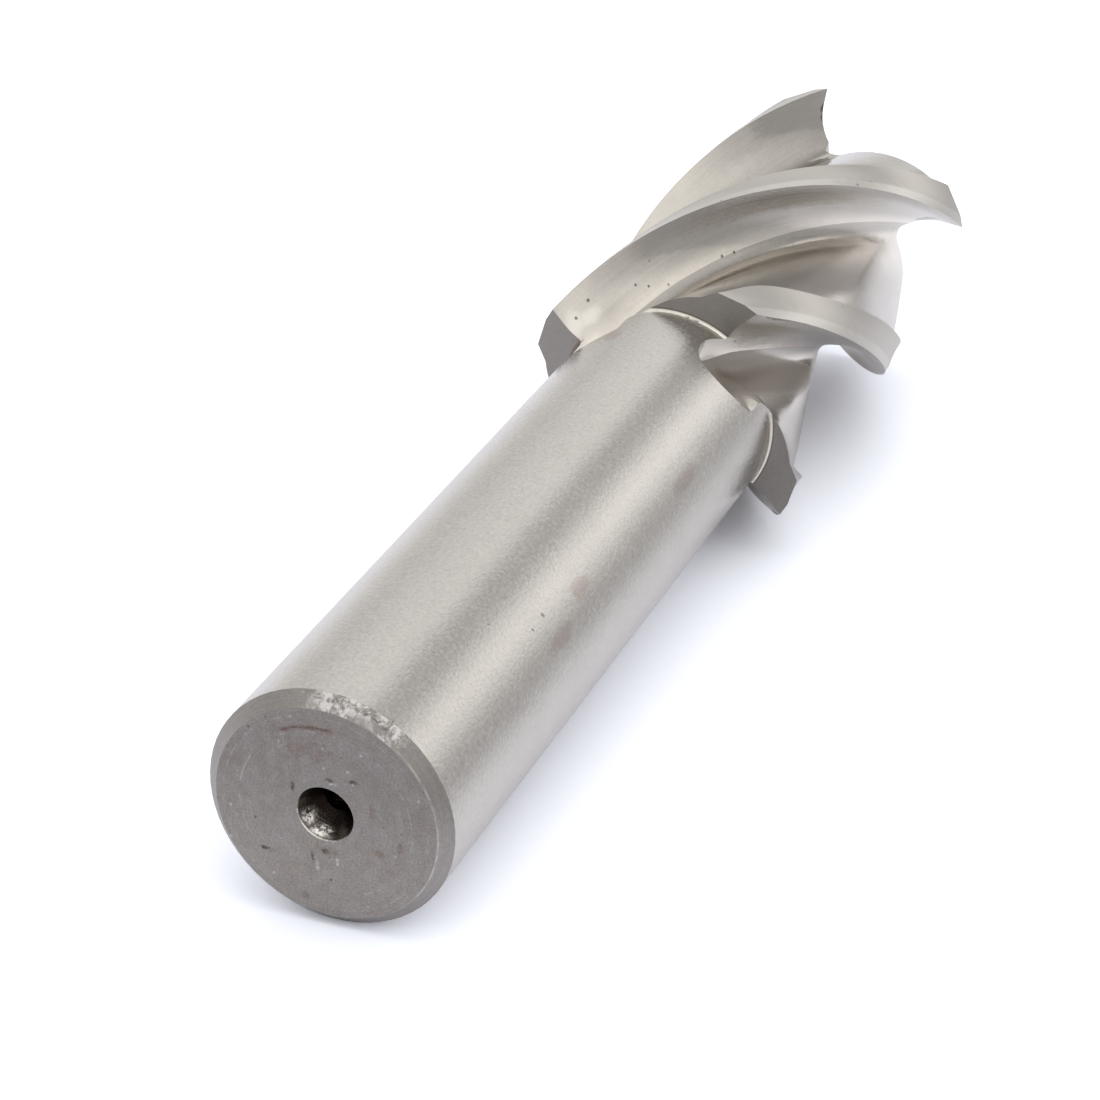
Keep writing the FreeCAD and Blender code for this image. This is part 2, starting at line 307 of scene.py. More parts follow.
def makeShankSteel():
    look = shank
    material, tree, shader, frameNode = makeSteel("shankSteel")
    position = frameNode.outputs["Position"]
    lines = rings(tree, frameNode, look["lineFineness"], look["lineSoftness"])
    grain = place(tree, grainGroup, Lines=lines, Position=position, **look["grain"])
    colour = tone(tree, look["colour"], grain.outputs["Value"], look["grainTone"])
    colour = tone(tree, colour, clouds(tree, position, 0.25, 3.0, 0.6), look["cloudTone"])
    stained = marks(tree, position, look["stains"], ragged=0.9, grain=1.2)
    colour = stain(tree, colour, stained, look["stainStrength"], look["stainColour"])
    flecks = marks(tree, position, look["flecks"], ragged=0.8, grain=6.0)
    dark = calc(tree, "MAXIMUM", flecks, pits(tree, position, look["pits"]))
    colour = stain(tree, colour, dark, look["fleckStrength"], look["fleckColour"])
    roughness = plus(tree, look["roughness"], grain.outputs["Value"], look["grainRoughness"])
    roughness = plus(tree, roughness, dark, 0.2, clamp=True)
    height = plus(tree, grain.outputs["Height"], dark, -look["fleckDepth"])
    finishSteel(tree, shader, colour, roughness, height, look["bumpDepth"])
    return material


# end face: turned, darker, with rust stains, pits and ring scratches

endFace = {
    "colour": (0.262, 0.247, 0.238, 1), "roughness": 0.46, "bumpDepth": 0.000016,
    "grain": {"Line Strength": 0.6, "Speck Scale": 6.0, "Speck Strength": 2.2},
    "grainTone": 0.6, "grainRoughness": 0.2, "cloudTone": 0.55,
    "brownColour": (0.235, 0.212, 0.190, 1), "brownStrength": 0.55,
    "paintedLowerLight": 0.3,         # painted light: the lower part is painted lighter, as if lit from the floor
    "rust": [((0, 1.3, 5.4), (1.0, 2.9, 1.3)), ((0, 0.2, 7.2), (1.0, 2.4, 0.35)),
             ((0, 2.9, 6.7), (1.0, 1.0, 0.3)), ((0, -0.1, -3.1), (1.0, 0.9, 0.5)),
             ((0, -3.9, 1.3), (1.0, 0.35, 0.9)), ((0, 2.0, -7.6), (1.0, 0.7, 0.4)),
             ((0, 4.9, -4.2), (1.0, 0.9, 0.3)), ((0, -6.0, -1.6), (1.0, 0.3, 0.6)),
             ((0, -4.3, -2.5), (1.0, 0.8, 0.4))],
    "rustColour": (0.17, 0.105, 0.085, 1), "rustStrength": 0.55,
    "rustArc": {"radius": 7.35, "width": 0.2, "wander": 0.5, "from": -30.0, "to": 10.0, "fade": 8.0,
                "colour": (0.11, 0.06, 0.055, 1)},
    "darkMarks": [((0, -0.55, 3.1), (1.0, 0.5, 0.22)), ((0, 2.55, 1.9), (1.0, 0.2, 0.5)),
                  ((0, 1.2, -4.0), (1.0, 0.16, 0.75)), ((0, -2.4, 3.3), (1.0, 0.4, 0.25)),
                  ((0, 5.2, -4.1), (1.0, 0.5, 0.18)), ((0, 0.1, -3.3), (1.0, 0.35, 0.3))],
    "darkColour": (0.05, 0.045, 0.04, 1), "darkStrength": 0.8, "darkDepth": 3.0,
    "pits": {"Spacing": 1.0, "Size": 0.13, "Share": 0.5}, "pitShare": 0.6,
    "brightMarks": [((0, 0.85, -4.7), (1.0, 0.2, 0.55)), ((0, -0.8, -4.0), (1.0, 0.18, 0.5)),
                    ((0, -0.8, 2.75), (1.0, 0.4, 0.16))],
    "brightColour": (0.62, 0.61, 0.59, 1), "brightStrength": 0.7,
    "flashes": {"Spacing": 1.1, "Size": 0.12, "Share": 0.4}, "flashShare": 0.55,
    "flashShift": (7.0, 3.0, 9.0),   # so that the flashes miss the pits
    # radius, width and strength
    "scratchRings": [(7.0, 0.10, 0.9), (6.2, 0.06, 0.5), (8.3, 0.08, 0.7), (4.6, 0.05, 0.35)],
    "scratchStrength": 0.35, "scratchDepth": 1.5,
}


def scratchRings(tree, radius, broken, ringList):
    total = None
    for at, width, strength in ringList:
        line = times(tree, nearTo(tree, radius, at, width), spread(tree, broken, 0.48, 0.62), strength)
        total = line if total is None else calc(tree, "MAXIMUM", total, line)
    return total


def rustArc(tree, frameNode, broken, look):
    # a thin arc of rust that wanders a little from its circle and fades at both ends
    clock = frameNode.outputs["Clock"]
    bent = plus(tree, frameNode.outputs["Radius"], broken, look["wander"])
    line = nearTo(tree, bent, look["radius"] + look["wander"] / 2, look["width"], inner=0.02)
    starts = spread(tree, clock, look["from"], look["from"] + look["fade"])
    ends = spread(tree, clock, look["to"] - look["fade"], look["to"], 1.0, 0.0)
    patchy = spread(tree, noise(tree, frameNode.outputs["Position"], 3.0, 3.0, 0.7), 0.35, 0.6, 0.25, 0.75)
    return times(tree, line, starts, ends, patchy)


def makeEndFaceSteel():
    look = endFace
    material, tree, shader, frameNode = makeSteel("endFaceSteel")
    position, radius = frameNode.outputs["Position"], frameNode.outputs["Radius"]
    turned = join(tree, calc(tree, "MULTIPLY", radius, 9.0),
                  calc(tree, "MULTIPLY", frameNode.outputs["Clock"], 0.012), 0.0)
    grain = place(tree, grainGroup, Lines=turned, Position=position, **look["grain"])
    brown = spread(tree, noise(tree, position, 0.45, 4.0, 0.65), 0.4, 0.65)
    colour = stain(tree, look["colour"], brown, look["brownStrength"], look["brownColour"])
    colour = tone(tree, colour, grain.outputs["Value"], look["grainTone"])
    colour = tone(tree, colour, clouds(tree, position, 1.1, 5.0, 0.75), look["cloudTone"])
    upward = split(tree, position)[2]
    # painted light: the lower part of the face is painted lighter
    colour = tone(tree, colour, spread(tree, upward, -8.0, 5.0, 1.0, 0.0), look["paintedLowerLight"])
    broken = noise(tree, position, 0.55, 3.0, 0.7)
    scratch = scratchRings(tree, radius, broken, look["scratchRings"])
    colour = stain(tree, colour, scratch, look["scratchStrength"], look["brightColour"])
    rust = times(tree, marks(tree, position, look["rust"], ragged=1.5, grain=1.1),
                 spread(tree, noise(tree, position, 1.3, 6.0, 0.7), 0.3, 0.72))
    colour = stain(tree, colour, rust, look["rustStrength"], look["rustColour"])
    colour = blendColour(tree, rustArc(tree, frameNode, broken, look["rustArc"]), colour, look["rustArc"]["colour"])
    worn = spread(tree, noise(tree, position, 4.0, 3.0, 0.7), 0.38, 0.6)
    dark = times(tree, marks(tree, position, look["darkMarks"], ragged=1.9, grain=4.5), worn)
    dark = calc(tree, "MAXIMUM", dark, times(tree, pits(tree, position, look["pits"]), look["pitShare"]))
    colour = stain(tree, colour, dark, look["darkStrength"], look["darkColour"])
    moved = addNode(tree, "ShaderNodeVectorMath", operation="ADD")
    feed(tree, moved.inputs[0], position)
    moved.inputs[1].default_value = look["flashShift"]
    bright = times(tree, marks(tree, position, look["brightMarks"], ragged=1.8, grain=5.0), worn)
    flashes = times(tree, pits(tree, moved.outputs[0], look["flashes"]), look["flashShare"])
    bright = calc(tree, "MAXIMUM", bright, flashes)
    colour = stain(tree, colour, bright, look["brightStrength"], look["brightColour"])
    roughness = plus(tree, look["roughness"], grain.outputs["Value"], look["grainRoughness"])
    roughness = plus(tree, roughness, bright, -0.15, clamp=True)
    height = plus(tree, grain.outputs["Height"], dark, -look["darkDepth"])
    height = plus(tree, height, scratch, -look["scratchDepth"])
    finishSteel(tree, shader, colour, roughness, height, look["bumpDepth"])
    return material


# chamfer: like the end face, with a light line at its inner edge and a struck stretch with raised flakes

chamfer = {
    "colour": (0.33, 0.312, 0.30, 1), "brightColour": (0.80, 0.79, 0.77, 1), "roughness": 0.4,
    "bumpDepth": 0.00005, "radius": 10, "depth": 1.05,   # radius of the shank and depth of the chamfer, in mm
    "grain": {"Line Strength": 0.8, "Speck Scale": 4.0, "Speck Strength": 1.0},
    "grainTone": 0.6, "grainRoughness": 0.2, "grainDepth": 0.2,
    "battered": [((0.6, -1.9, 9.5), (2.0, 4.3, 1.3)), ((0.6, -5.3, 8.3), (2.0, 1.8, 2.0))],
    "batteredDepth": 3.0, "shineStrength": 0.9,
    "rimLine": {"along": 0.1, "width": 0.09, "clock": (15.0, 45.0)},
    # flakes raised along the rim: clock, along, half length along, half length round, height in mm
    "flakes": [(-2, 0.8, 0.3, 0.5, 0.06), (6, 0.75, 0.25, 0.6, 0.07), (14, 0.8, 0.3, 0.45, 0.08),
               (20, 0.85, 0.35, 0.4, 0.09), (26, 0.8, 0.3, 0.4, 0.09), (31.5, 0.85, 0.65, 0.16, 0.28),
               (34.5, 0.8, 0.5, 0.14, 0.24)],
    "flakeLeanDeg": 12, "flakeRagged": 0.18,
}


def makeChamferSteel():
    look = chamfer
    material, tree, shader, frameNode = makeSteel("chamferSteel")
    position = frameNode.outputs["Position"]
    grain = place(tree, grainGroup, Lines=rings(tree, frameNode, 12.0, 0.3), Position=position, **look["grain"])
    struck = marks(tree, position, look["battered"], ragged=0.8, grain=1.5)
    flakes = noise(tree, position, 1.3, 6.0, 0.72)
    shine = times(tree, struck, spread(tree, flakes, 0.42, 0.56))
    rim = times(tree, nearTo(tree, frameNode.outputs["Along"], look["rimLine"]["along"], look["rimLine"]["width"]),
                spread(tree, noise(tree, position, 0.9, 3.0, 0.6), 0.42, 0.6, 0.1, 0.45),
                spread(tree, frameNode.outputs["Clock"], *look["rimLine"]["clock"]))
    shine = calc(tree, "MAXIMUM", shine, rim)
    colour = tone(tree, look["colour"], grain.outputs["Value"], look["grainTone"])
    colour = stain(tree, colour, shine, look["shineStrength"], look["brightColour"])
    roughness = plus(tree, look["roughness"], grain.outputs["Value"], look["grainRoughness"])
    height = calc(tree, "MULTIPLY", grain.outputs["Height"], look["grainDepth"])
    height = plus(tree, height, calc(tree, "MULTIPLY", struck, flakes), look["batteredDepth"])
    finishSteel(tree, shader, colour, roughness, height, look["bumpDepth"])
    return material


# centre hole: painted shade inside, with painted glints on its lower wall and a painted highlight round its rim

centreHole = {
    # colour is painted shade; glintColour paints the glints and the bright rim
    "colour": (0.11, 0.095, 0.085, 1), "glintColour": (0.90, 0.88, 0.84, 1), "glintStrength": 0.9,
    "roughness": 0.2, "bumpDepth": 0.00004,
    "glints": [((0.9, 1.75, -0.9), (1.1, 0.8, 0.9)), ((0.6, 0.6, -1.9), (0.8, 1.3, 0.5))],
}


def makeCentreHoleSteel():
    look = centreHole
    material, tree, shader, frameNode = makeSteel("centreHoleSteel")
    position = frameNode.outputs["Position"]
    flakes = noise(tree, position, 2.2, 3.0, 0.7)
    # painted highlight round the rim and painted glints on the lower wall
    rim = spread(tree, frameNode.outputs["Along"], 0.02, 0.16, 0.8, 0.0)
    paintedWallGlint = times(tree, marks(tree, position, look["glints"], ragged=0.8, grain=1.6),
                spread(tree, flakes, 0.38, 0.56))
    glint = calc(tree, "MAXIMUM", rim, paintedWallGlint)
    colour = stain(tree, look["colour"], glint, look["glintStrength"], look["glintColour"])
    finishSteel(tree, shader, colour, look["roughness"], flakes, look["bumpDepth"])
    return material


# flutes: drawn by the grinding wheel along the helix
# phase runs 0..90 degrees from one cutting edge to the next; turned is the clock followed back along the helix

flute = {
    "colour": (0.50, 0.475, 0.44, 1), "roughness": 0.16, "bumpDepth": 0.000010,
    "grain": {"Line Strength": 0.7, "Speck Scale": 3.5, "Speck Strength": 0.7},
    "drawn": (0.9, 3.2, 0.12),       # fineness of the lines by phase, radius and length
    "grainTone": 0.28, "grainRoughness": 0.15, "cloudTone": 0.2,
    # painted light: the bottoms of the flutes are painted paler, to lift the shade that falls there
    "paintedBottomLight": {"colour": (0.80, 0.75, 0.68, 1), "radius": (8.2, 10.4), "phase": (4.0, 10.0), "turned": (-75.0, -60.0)},
    # painted shade: the flute over the floor is painted dark near the shank, a dark reflection of the floor's shadow;
    # begins gives two lengths, then the phase it starts at there
    "paintedFluteShade": {"colour": (0.30, 0.27, 0.235, 1), "strength": 0.75, "roughness": 0.3, "turned": (34.0, 38.0),
              "begins": (76.0, 94.0, -3.5, 19.0), "edge": 4.0, "phase": (27.0, 36.0), "along": (90.0, 97.0)},
    # painted shade: a dark band under a cutting edge, where shade falls
    "paintedEdgeShade": {"strength": 0.6, "radius": (12.0, 13.2), "along": (74.0, 98.0), "turned": (-115.0, -95.0)},
    # painted highlight near the back of a rake face
    "paintedRakeHighlight": [((72.6, 9.5, 6.2), (1.7, 1.3, 2.6)), ((75.8, 8.4, 7.2), (4.0, 1.2, 1.2))],
    "rakeHighlightColour": (0.72, 0.695, 0.66, 1), "rakeHighlightStrength": 0.5,
    "chips": [((120.9, 1.25, 11.9), (0.5, 0.5, 0.75)), ((120.9, 1.25, 10.9), (0.4, 0.5, 0.6)),
              ((119.6, -10.2, 1.8), (1.3, 1.1, 0.75)), ((119.0, -11.1, 2.3), (1.3, 1.0, 0.75))],
    "spots": [((74.6, 8.7, 8.6), (0.22, 0.22, 0.22)), ((72.8, 9.2, 7.5), (0.2, 0.2, 0.2)),
              ((79.2, 5.8, 8.7), (0.16, 0.16, 0.2)), ((80.2, 4.9, 8.3), (0.2, 0.16, 0.16)),
              ((88.7, 0.7, 8.5), (0.22, 0.22, 0.22)), ((90.2, 0.0, 8.4), (0.22, 0.22, 0.22))],
    "pits": {"Spacing": 2.2, "Size": 0.1, "Share": 0.3},
    "pitColour": (0.10, 0.09, 0.08, 1), "pitStrength": 0.85, "pitDepth": 2.0,
}


def makeFluteSteel():
    look = flute
    bottomLightLook, fluteShadeLook, edgeShadeLook = look["paintedBottomLight"], look["paintedFluteShade"], look["paintedEdgeShade"]
    material, tree, shader, frameNode = makeSteel("fluteSteel")
    position, along, radius, phase, turned = [
        frameNode.outputs[name] for name in ("Position", "Along", "Radius", "Phase", "Turned")]
    scales = zip((phase, radius, along), look["drawn"])
    drawn = join(tree, *[calc(tree, "MULTIPLY", value, scale) for value, scale in scales])
    grain = place(tree, grainGroup, Lines=drawn, Position=position, **look["grain"])
    # painted light in the flute bottoms
    paintedBottomLight = times(tree, spread(tree, radius, *bottomLightLook["radius"], 1.0, 0.0), spread(tree, phase, *bottomLightLook["phase"]),
                 spread(tree, turned, *bottomLightLook["turned"]))
    colour = blendColour(tree, paintedBottomLight, look["colour"], bottomLightLook["colour"])
    colour = tone(tree, colour, grain.outputs["Value"], look["grainTone"])
    colour = tone(tree, colour, clouds(tree, position, 0.3, 3.0, 0.6), look["cloudTone"])
    # painted shade: dark reflection on the flute over the floor, near the shank
    begins = spread(tree, along, *fluteShadeLook["begins"], smooth=False)
    paintedFluteShade = times(tree, spread(tree, phase, begins, calc(tree, "ADD", begins, fluteShadeLook["edge"])),
                  spread(tree, phase, *fluteShadeLook["phase"], 1.0, 0.0), spread(tree, turned, *fluteShadeLook["turned"]),
                  spread(tree, along, *fluteShadeLook["along"], 1.0, 0.0))
    colour = stain(tree, colour, paintedFluteShade, fluteShadeLook["strength"], fluteShadeLook["colour"])
    # painted shade under a cutting edge
    paintedEdgeShade = times(tree, spread(tree, radius, *edgeShadeLook["radius"]), spread(tree, along, *edgeShadeLook["along"]),
                  spread(tree, turned, *edgeShadeLook["turned"]))
    colour = stain(tree, colour, paintedEdgeShade, edgeShadeLook["strength"], fluteShadeLook["colour"])
    # painted highlight near the back of a rake face
    paintedRakeHighlight = marks(tree, position, look["paintedRakeHighlight"], ragged=0.5, grain=0.8)
    colour = stain(tree, colour, paintedRakeHighlight, look["rakeHighlightStrength"], look["rakeHighlightColour"])
    dark = calc(tree, "MAXIMUM", pits(tree, position, look["pits"]),
                marks(tree, position, look["spots"], ragged=0.5, grain=4.0))
    dark = calc(tree, "MAXIMUM", dark, marks(tree, position, look["chips"], ragged=0.3, grain=2.0))
    colour = stain(tree, colour, dark, look["pitStrength"], look["pitColour"])
    roughness = plus(tree, look["roughness"], grain.outputs["Value"], look["grainRoughness"])
    roughness = plus(tree, roughness, paintedFluteShade, fluteShadeLook["roughness"])
    height = plus(tree, grain.outputs["Height"], dark, -look["pitDepth"])
    finishSteel(tree, shader, colour, roughness, height, look["bumpDepth"])
    return material


# lands: the pale outer faces behind the cutting edges

land = {
    "colour": (0.56, 0.535, 0.505, 1), "edgeColour": (0.66, 0.64, 0.61, 1), "edgePhase": (84.2, 85.4),
    "roughness": 0.36, "bumpDepth": 0.000006,
    "grain": {"Line Strength": 0.6, "Speck Scale": 3.5, "Speck Strength": 0.8},
    "grainTone": 0.2, "grainRoughness": 0.2,
    "pits": {"Spacing": 2.4, "Size": 0.09, "Share": 0.25}, "pitStrength": 0.6,
}


def makeLandSteel():
    look = land
    material, tree, shader, frameNode = makeSteel("landSteel")
    position = frameNode.outputs["Position"]
    grain = place(tree, grainGroup, Lines=rings(tree, frameNode, 5.0, 0.8), Position=position, **look["grain"])
    edge = spread(tree, frameNode.outputs["Phase"], *look["edgePhase"])
    colour = blendColour(tree, edge, look["colour"], look["edgeColour"])
    colour = tone(tree, colour, grain.outputs["Value"], look["grainTone"])
    colour = stain(tree, colour, pits(tree, position, look["pits"]), look["pitStrength"], flute["pitColour"])
    roughness = plus(tree, look["roughness"], grain.outputs["Value"], look["grainRoughness"])
    finishSteel(tree, shader, colour, roughness, grain.outputs["Height"], look["bumpDepth"])
    return material


# fillet where the shank meets the teeth: a painted highlight on the ring, painted shade above it and beside the first
# tooth

fillet = {
    # colour is the painted highlight of the ring; darkColour is the painted shade
    "colour": (0.80, 0.78, 0.72, 1), "darkColour": (0.20, 0.165, 0.14, 1), "roughness": 0.3, "bumpDepth": 0.000012,
    "grain": {"Line Strength": 0.6, "Speck Scale": 3.0, "Speck Strength": 1.2}, "grainTone": 0.4,
    "shadeFromRadius": (10.18, 10.3), "shadeBelowClock": (-24.0, -16.0),
}


def makeFilletSteel():
    look = fillet
    material, tree, shader, frameNode = makeSteel("filletSteel")
    position = frameNode.outputs["Position"]
    grain = place(tree, grainGroup, Lines=position, Position=position, **look["grain"])
    # painted shade above the ring and beside the first tooth
    raised = spread(tree, frameNode.outputs["Radius"], *look["shadeFromRadius"])
    beside = spread(tree, frameNode.outputs["Clock"], *look["shadeBelowClock"], 1.0, 0.0)
    colour = tone(tree, look["colour"], grain.outputs["Value"], look["grainTone"])
    colour = blendColour(tree, calc(tree, "MAXIMUM", raised, beside), colour, look["darkColour"])
    finishSteel(tree, shader, colour, look["roughness"], grain.outputs["Height"], look["bumpDepth"])
    return material


# shoulder, the dull turned faces behind the teeth, and tip, the front end of the teeth

shoulder = {"colour": (0.335, 0.317, 0.303, 1), "roughness": 0.5, "bumpDepth": 0.000008,
            "grainTone": 0.35, "grainRoughness": 0.2}
tip = {"colour": (0.52, 0.50, 0.475, 1), "roughness": 0.38, "bumpDepth": 0.000005,
       "grainTone": 0.35, "grainRoughness": 0.2}
plainGrain = {"Line Strength": 0.6, "Speck Scale": 4.0, "Speck Strength": 0.9}


def makePlainSteel(name, look):
    material, tree, shader, frameNode = makeSteel(name)
    position = frameNode.outputs["Position"]
    grain = place(tree, grainGroup, Lines=position, Position=position, **plainGrain)
    colour = tone(tree, look["colour"], grain.outputs["Value"], look["grainTone"])
    roughness = plus(tree, look["roughness"], grain.outputs["Value"], look["grainRoughness"])
    finishSteel(tree, shader, colour, roughness, grain.outputs["Height"], look["bumpDepth"])
    return material


finishes = {
    "shankSteel": makeShankSteel(),
    "endFaceSteel": makeEndFaceSteel(),
    "chamferSteel": makeChamferSteel(),
    "centreHoleSteel": makeCentreHoleSteel(),
    "shoulderSteel": makePlainSteel("shoulderSteel", shoulder),
    "filletSteel": makeFilletSteel(),
    "fluteSteel": makeFluteSteel(),
    "landSteel": makeLandSteel(),
    "tipSteel": makePlainSteel("tipSteel", tip),
}
finishNames = list(finishes)
print("finishes:", ", ".join(finishNames))


# the tool: a merged copy of the solid, its faces given their finishes
# limits are mm along the axis or mm from it, but sharpDeg in degrees and mergeDistance in m
# outward says how far a face looks away from the axis

limits = {
    "holeLength": 8, "holeRadius": 2.45, "endFaceLength": 0.2, "chamferLength": 1.2,
    "fillet": (71.4, 71.85), "filletRadius": (9.95, 10.42),
    "shankLength": 71.45, "shankRadius": (9.9, 10.1), "shankNormals": 71.41,
    "shoulder": 71.8, "shoulderReach": 0.4, "tipStart": 117, "landRadius": 13.3,
    "sharpDeg": 28, "mergeDistance": 1e-6,
}


def toToolFrame(point):
    turn = Matrix.Rotation(math.radians(pose["riseDeg"]), 3, "Y")
    return turn @ (point - Vector(pose["axisStart"])) * 1000


def finishOf(centre, normal):
    x = centre.x
    radius = math.hypot(centre.y, centre.z)
    outward = (normal.y * centre.y + normal.z * centre.z) / max(radius, 1e-6)
    backward = normal.x < -0.9
    if x < limits["holeLength"] and radius < limits["holeRadius"]:
        return "centreHoleSteel"
    if backward and x < limits["endFaceLength"]:
        return "endFaceSteel"
    if x < limits["chamferLength"] and outward > 0.3:
        return "chamferSteel"
    start, end = limits["fillet"]
    inner, outer = limits["filletRadius"]
    if start < x < end and inner < radius < outer and outward > 0.02:
        return "filletSteel"
    inner, outer = limits["shankRadius"]
    if x < limits["shankLength"] and inner < radius < outer and outward > 0.9:
        return "shankSteel"
    if backward and abs(x - limits["shoulder"]) < limits["shoulderReach"]:
        return "shoulderSteel"
    if x > limits["tipStart"] and normal.x > 0.8:
        return "tipSteel"
    if radius > limits["landRadius"] and outward > 0.93:
        return "landSteel"
    return "fluteSteel"


def setShankNormals(mesh):
    # the shank is a true cylinder, so its normals are set straight out from the axis
    tilt = Matrix.Rotation(-math.radians(pose["riseDeg"]), 3, "Y")
    shankIndex = finishNames.index("shankSteel")
    normals = [Vector((0, 0, 0))] * len(mesh.loops)
    for polygon in mesh.polygons:
        if polygon.material_index != shankIndex:
            continue
        for loop in polygon.loop_indices:
            point = toToolFrame(mesh.vertices[mesh.loops[loop].vertex_index].co)
            if point.x < limits["shankNormals"]:
                normals[loop] = tilt @ Vector((0, point.y, point.z)).normalized()
    mesh.normals_split_custom_set(normals)


def addFlakes(bm):
    # small raised flakes where the rim of the shank was struck
    inverse = Matrix.Rotation(-math.radians(pose["riseDeg"]), 4, "Y")
    index = finishNames.index("chamferSteel")
    for number, (clock, along, length, width, height) in enumerate(chamfer["flakes"]):
        angle = math.radians(clock)
        radius = chamfer["radius"] - max(0.0, chamfer["depth"] - along)
        centre = Vector((along, -radius * math.sin(angle), radius * math.cos(angle)))
        spot = Matrix.Translation(Vector(pose["axisStart"]) + (inverse @ centre) * 0.001)
        lean = Matrix.Rotation(math.radians(chamfer["flakeLeanDeg"] * (-1) ** number), 4, "Z")
        shape = Matrix.Diagonal((length * 0.001, width * 0.001, height * 0.001, 1))
        matrix = spot @ inverse @ Matrix.Rotation(angle, 4, "X") @ lean @ shape
        made = bmesh.ops.create_icosphere(bm, subdivisions=2, radius=1.0, matrix=matrix)
        for count, vert in enumerate(made["verts"]):
            push = 1 + chamfer["flakeRagged"] * math.sin(count * 2.4 + number * 1.7)
            vert.co = spot.translation + (vert.co - spot.translation) * push
        for face in {face for vert in made["verts"] for face in vert.link_faces}:
            face.material_index = index
            face.smooth = False


def makeTool():
    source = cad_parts["end_mill"]
    mesh = source.data.copy()
    mesh.materials.clear()
    for name in finishNames:
        mesh.materials.append(finishes[name])
    bm = bmesh.new()
    bm.from_mesh(mesh)
    bmesh.ops.remove_doubles(bm, verts=bm.verts, dist=limits["mergeDistance"])
    bm.normal_update()
    turn = Matrix.Rotation(math.radians(pose["riseDeg"]), 3, "Y")
    for face in bm.faces:
        face.smooth = True
        face.material_index = finishNames.index(
            finishOf(toToolFrame(face.calc_center_median()), turn @ face.normal))
    addFlakes(bm)
    bm.to_mesh(mesh)
    bm.free()
    if "custom_normal" in mesh.attributes:
        mesh.attributes.remove(mesh.attributes["custom_normal"])
    mesh.set_sharp_from_angle(angle=math.radians(limits["sharpDeg"]))
    setShankNormals(mesh)
    tool = bpy.data.objects.new("endMillGround", mesh)
    bpy.context.scene.collection.objects.link(tool)
    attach(tool, "root")
    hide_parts("end_mill")
    counts = {}
    for polygon in mesh.polygons:
        name = finishNames[polygon.material_index]
        counts[name] = counts.get(name, 0) + 1
    print("tool:", len(mesh.polygons), "faces", counts)


makeTool()


# floor, sky and light
# the sky has two sets of soft panels: skyPanels by the clock seen from the shank end, in degrees, and
# sidePanels by how far a direction points along the tool, from -1 to 1; each panel has its brightness

studio = {
    "seenFloor": (1.22, 1.27, 1.40, 1), "litFloor": (0.93, 0.945, 1.02, 1), "farFloor": (0.50, 0.505, 0.52, 1),
    # two lengths along the floor, then how far out the painted lit part ends there, and the width of its fade, in m
    "litEdge": (0.06, 0.12, 0.012, 0.024), "litFade": 0.044,
    "skyPanels": [(-180, 0.95), (-95, 0.93), (-62, 0.70), (-38, 0.88), (-12, 0.96), (2, 1.08), (9, 0.62),
                  (30, 0.62), (42, 1.02), (58, 1.35), (72, 1.05), (86, 0.66), (108, 0.66), (180, 0.95)],
    "sidePanels": [(-0.7, 0.75), (-0.4, 1.25), (-0.1, 1.4), (0.04, 1.3), (0.14, 1.02), (0.25, 0.92), (0.36, 0.84),
                   (0.46, 0.72), (0.55, 0.6), (0.63, 0.48), (0.70, 0.42)],
    # the side panels come in over these clocks and end over these directions
    "sideFrom": (-10, 10), "sideTo": (0.64, 0.69),
    # they dim over these clocks towards the horizon; lowLevel gives two directions, then how bright they stay there
    "lowSky": (55, 90), "lowLevel": (-0.1, 0.25, 0.58, 0.78),
    "skyTint": (1.0, 0.985, 0.965, 1), "skyStrength": 2.0,
    "softbox": {"size": (1.2, 1.2), "power": 2.2, "colour": (1.0, 0.98, 0.95), "place": (-0.15, -0.3, 0.85),
                "aim": (0.0, 0.0, 0.01)},
}


def makeFloor():
    bm = bmesh.new()
    bmesh.ops.create_grid(bm, x_segments=2, y_segments=2, size=3.0)
    mesh = bpy.data.meshes.new("floor")
    bm.to_mesh(mesh)
    bm.free()
    floor = bpy.data.objects.new("floor", mesh)
    bpy.context.scene.collection.objects.link(floor)
    material = bpy.data.materials.new("floorPaper")
    material.use_nodes = True
    tree = material.node_tree
    tree.nodes.clear()
    output = addNode(tree, "ShaderNodeOutputMaterial")
    seen = addNode(tree, "ShaderNodeBsdfDiffuse")
    seen.inputs["Color"].default_value = studio["seenFloor"]
    # the floor as seen in reflections: painted light, bright near the tool and darker further out
    lit = addNode(tree, "ShaderNodeBsdfDiffuse")
    where = addNode(tree, "ShaderNodeTexCoord")
    x, y = split(tree, where.outputs["Object"])[:2]
    edge = spread(tree, x, *studio["litEdge"])
    apart = calc(tree, "SUBTRACT", calc(tree, "MULTIPLY", y, -1.0), edge)
    apart = spread(tree, apart, 0.0, studio["litFade"])
    feed(tree, lit.inputs["Color"], blendColour(tree, apart, studio["litFloor"], studio["farFloor"]))
    rays = addNode(tree, "ShaderNodeLightPath")
    mix = addNode(tree, "ShaderNodeMixShader")
    feed(tree, mix.inputs[0], rays.outputs["Is Camera Ray"])
    tree.links.new(lit.outputs[0], mix.inputs[1])
    tree.links.new(seen.outputs[0], mix.inputs[2])
    tree.links.new(mix.outputs[0], output.inputs["Surface"])
    mesh.materials.append(material)


def panelRamp(tree, value, panels, low, high, unit):
    # soft steps of brightness from panel to panel; the ramp holds half of each, and skyStrength doubles it
    ramp = addNode(tree, "ShaderNodeValToRGB")
    feed(tree, ramp.inputs[0], spread(tree, value, low, high, smooth=False))
    stops = ramp.color_ramp.elements
    for index, (spot, level) in enumerate(panels):
        at = (spot * unit - low) / (high - low)
        stop = stops[index] if index < 2 else stops.new(at)
        stop.position = at
        stop.color = (level / 2, level / 2, level / 2, 1)
    return ramp.outputs[0]


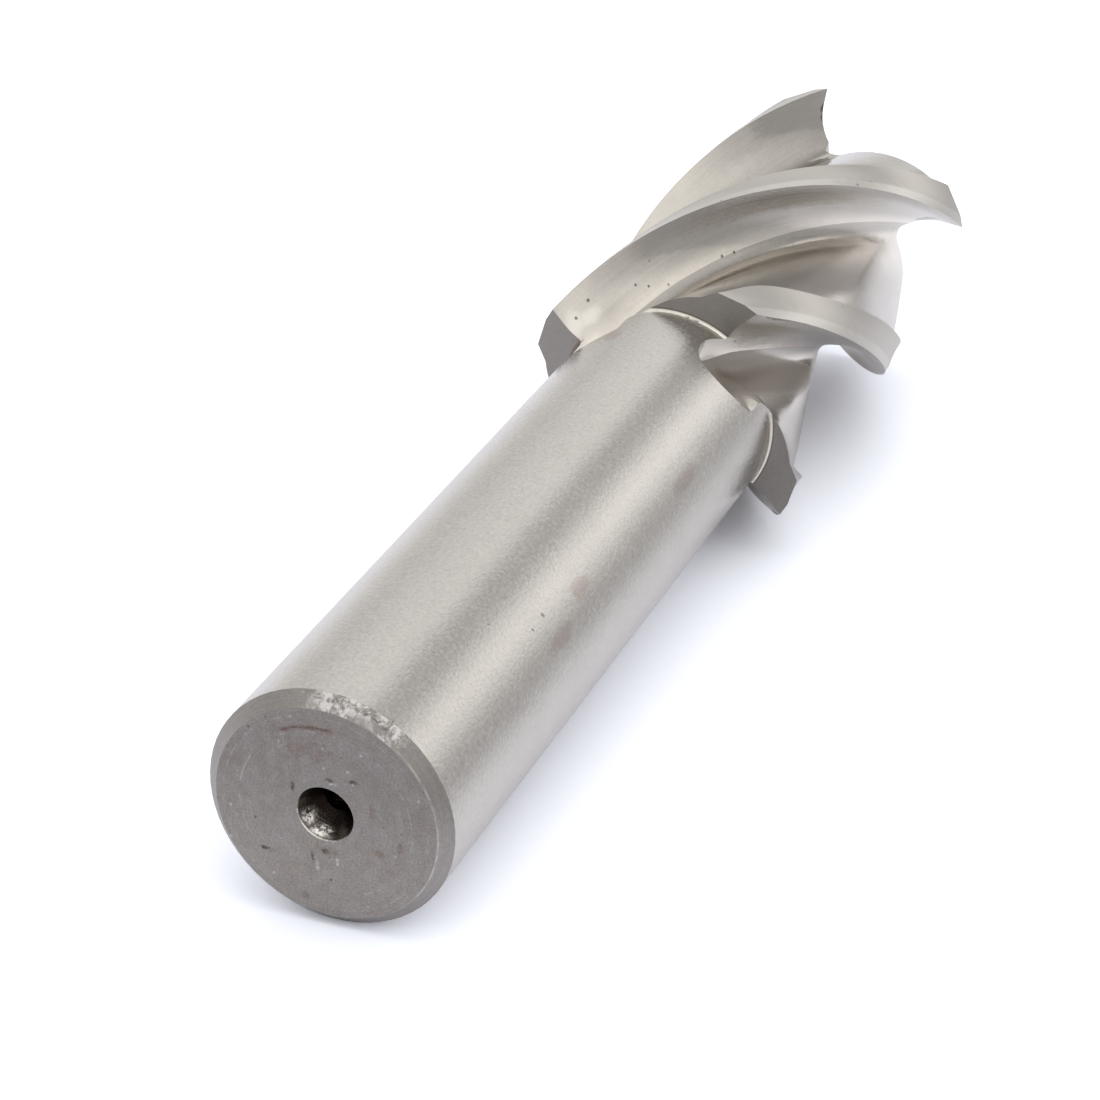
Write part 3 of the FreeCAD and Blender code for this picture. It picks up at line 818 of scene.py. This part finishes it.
def makeSky():
    world = bpy.data.worlds.new("studioSky")
    bpy.context.scene.world = world
    world.use_nodes = True
    tree = world.node_tree
    where = addNode(tree, "ShaderNodeTexCoord")
    x, y, z = split(tree, where.outputs["Generated"])
    clock = calc(tree, "ARCTAN2", calc(tree, "MULTIPLY", y, -1.0), z)
    around = panelRamp(tree, clock, studio["skyPanels"], -math.pi, math.pi, math.pi / 180)
    along = panelRamp(tree, x, studio["sidePanels"], -1.0, 1.0, 1.0)
    right = times(tree, spread(tree, clock, *[math.radians(a) for a in studio["sideFrom"]]),
                  spread(tree, x, *studio["sideTo"], 1.0, 0.0))
    low = spread(tree, clock, *[math.radians(a) for a in studio["lowSky"]], 1.0, spread(tree, x, *studio["lowLevel"]))
    along = blendColour(tree, 1.0, along, join(tree, low, low, low), mode="MULTIPLY")
    level = blendColour(tree, right, around, along)
    background = tree.nodes["Background"]
    feed(tree, background.inputs["Color"], blendColour(tree, 1.0, level, studio["skyTint"], mode="MULTIPLY"))
    background.inputs["Strength"].default_value = studio["skyStrength"]


def makeSoftbox():
    look = studio["softbox"]
    data = bpy.data.lights.new("overheadSoftbox", "AREA")
    data.shape = "RECTANGLE"
    data.size, data.size_y = look["size"]
    data.energy = look["power"]
    data.color = look["colour"]
    light = bpy.data.objects.new("overheadSoftbox", data)
    bpy.context.scene.collection.objects.link(light)
    light.location = look["place"]
    light.visible_glossy = False
    light.rotation_euler = (Vector(look["aim"]) - Vector(look["place"])).to_track_quat("-Z", "Y").to_euler()


makeFloor()
makeSky()
makeSoftbox()
print("studio: floor, sky and softbox")


# camera at the photograph's angle

view = {"place": (-0.242457, -0.091932, 0.131142), "turnDeg": (63.89835, -0.14251, -67.75050),
        "lens": 105.1626, "sensor": 36, "clipStart": 0.01}


def makeCamera():
    camera = bpy.data.objects.new("camera", bpy.data.cameras.new("camera"))
    bpy.context.scene.collection.objects.link(camera)
    camera.location = view["place"]
    camera.rotation_euler = [math.radians(a) for a in view["turnDeg"]]
    camera.data.lens = view["lens"]
    camera.data.sensor_width = view["sensor"]
    camera.data.clip_start = view["clipStart"]
    bpy.context.scene.camera = camera
    bpy.context.scene.view_settings.view_transform = "Standard"


makeCamera()
print("camera: placed")
